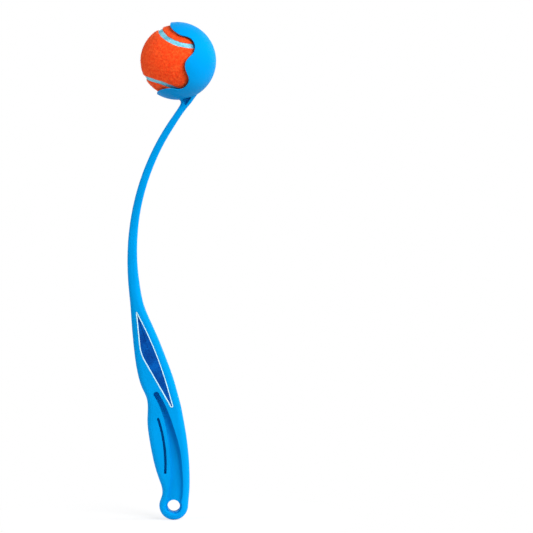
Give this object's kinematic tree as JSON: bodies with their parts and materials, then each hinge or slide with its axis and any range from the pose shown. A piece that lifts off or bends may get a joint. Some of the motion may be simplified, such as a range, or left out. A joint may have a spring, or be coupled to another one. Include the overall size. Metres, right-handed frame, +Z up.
{
  "type": "dog tennis ball launcher",
  "caption": "Bowed plastic stick with a clawed cup that holds and throws a tennis ball, a contoured grip with cored channel and a hang hole at its round end.",
  "frame": {"origin": "centre of the hang hole, in the middle of the moulding's thickness", "axes": "+Z up along the launcher from the hang hole towards the ball; +Y along the hang hole, away from the picture's viewpoint; +X towards the spine and the back of the cup, so the mouth faces -X"},
  "size_m": [0.0818, 0.0694, 0.4593],
  "materials": {
    "blue_plastic": "satin, as moulded",
    "label_film": "printed film, bare, pale edge line",
    "core_rubber": "moulded rubber",
    "orange_felt": "napped felt",
    "seam_rubber": "moulded rubber, pitted"
  },
  "bodies": {
    "launcher": {"launcher_moulding": "blue_plastic", "label_front": "label_film", "label_back": "label_film"},
    "ball": {"core_shell_a": "core_rubber", "core_shell_b": "core_rubber", "felt_panel_a": "orange_felt", "felt_panel_b": "orange_felt", "seam_strip": "seam_rubber"}
  },
  "joints": [
    {"name": "ball_release", "type": "slide", "parent": "launcher", "child": "ball", "axis": [-0.9816, 0, 0.1908], "range_m": [0, 0.08]}
  ]
}
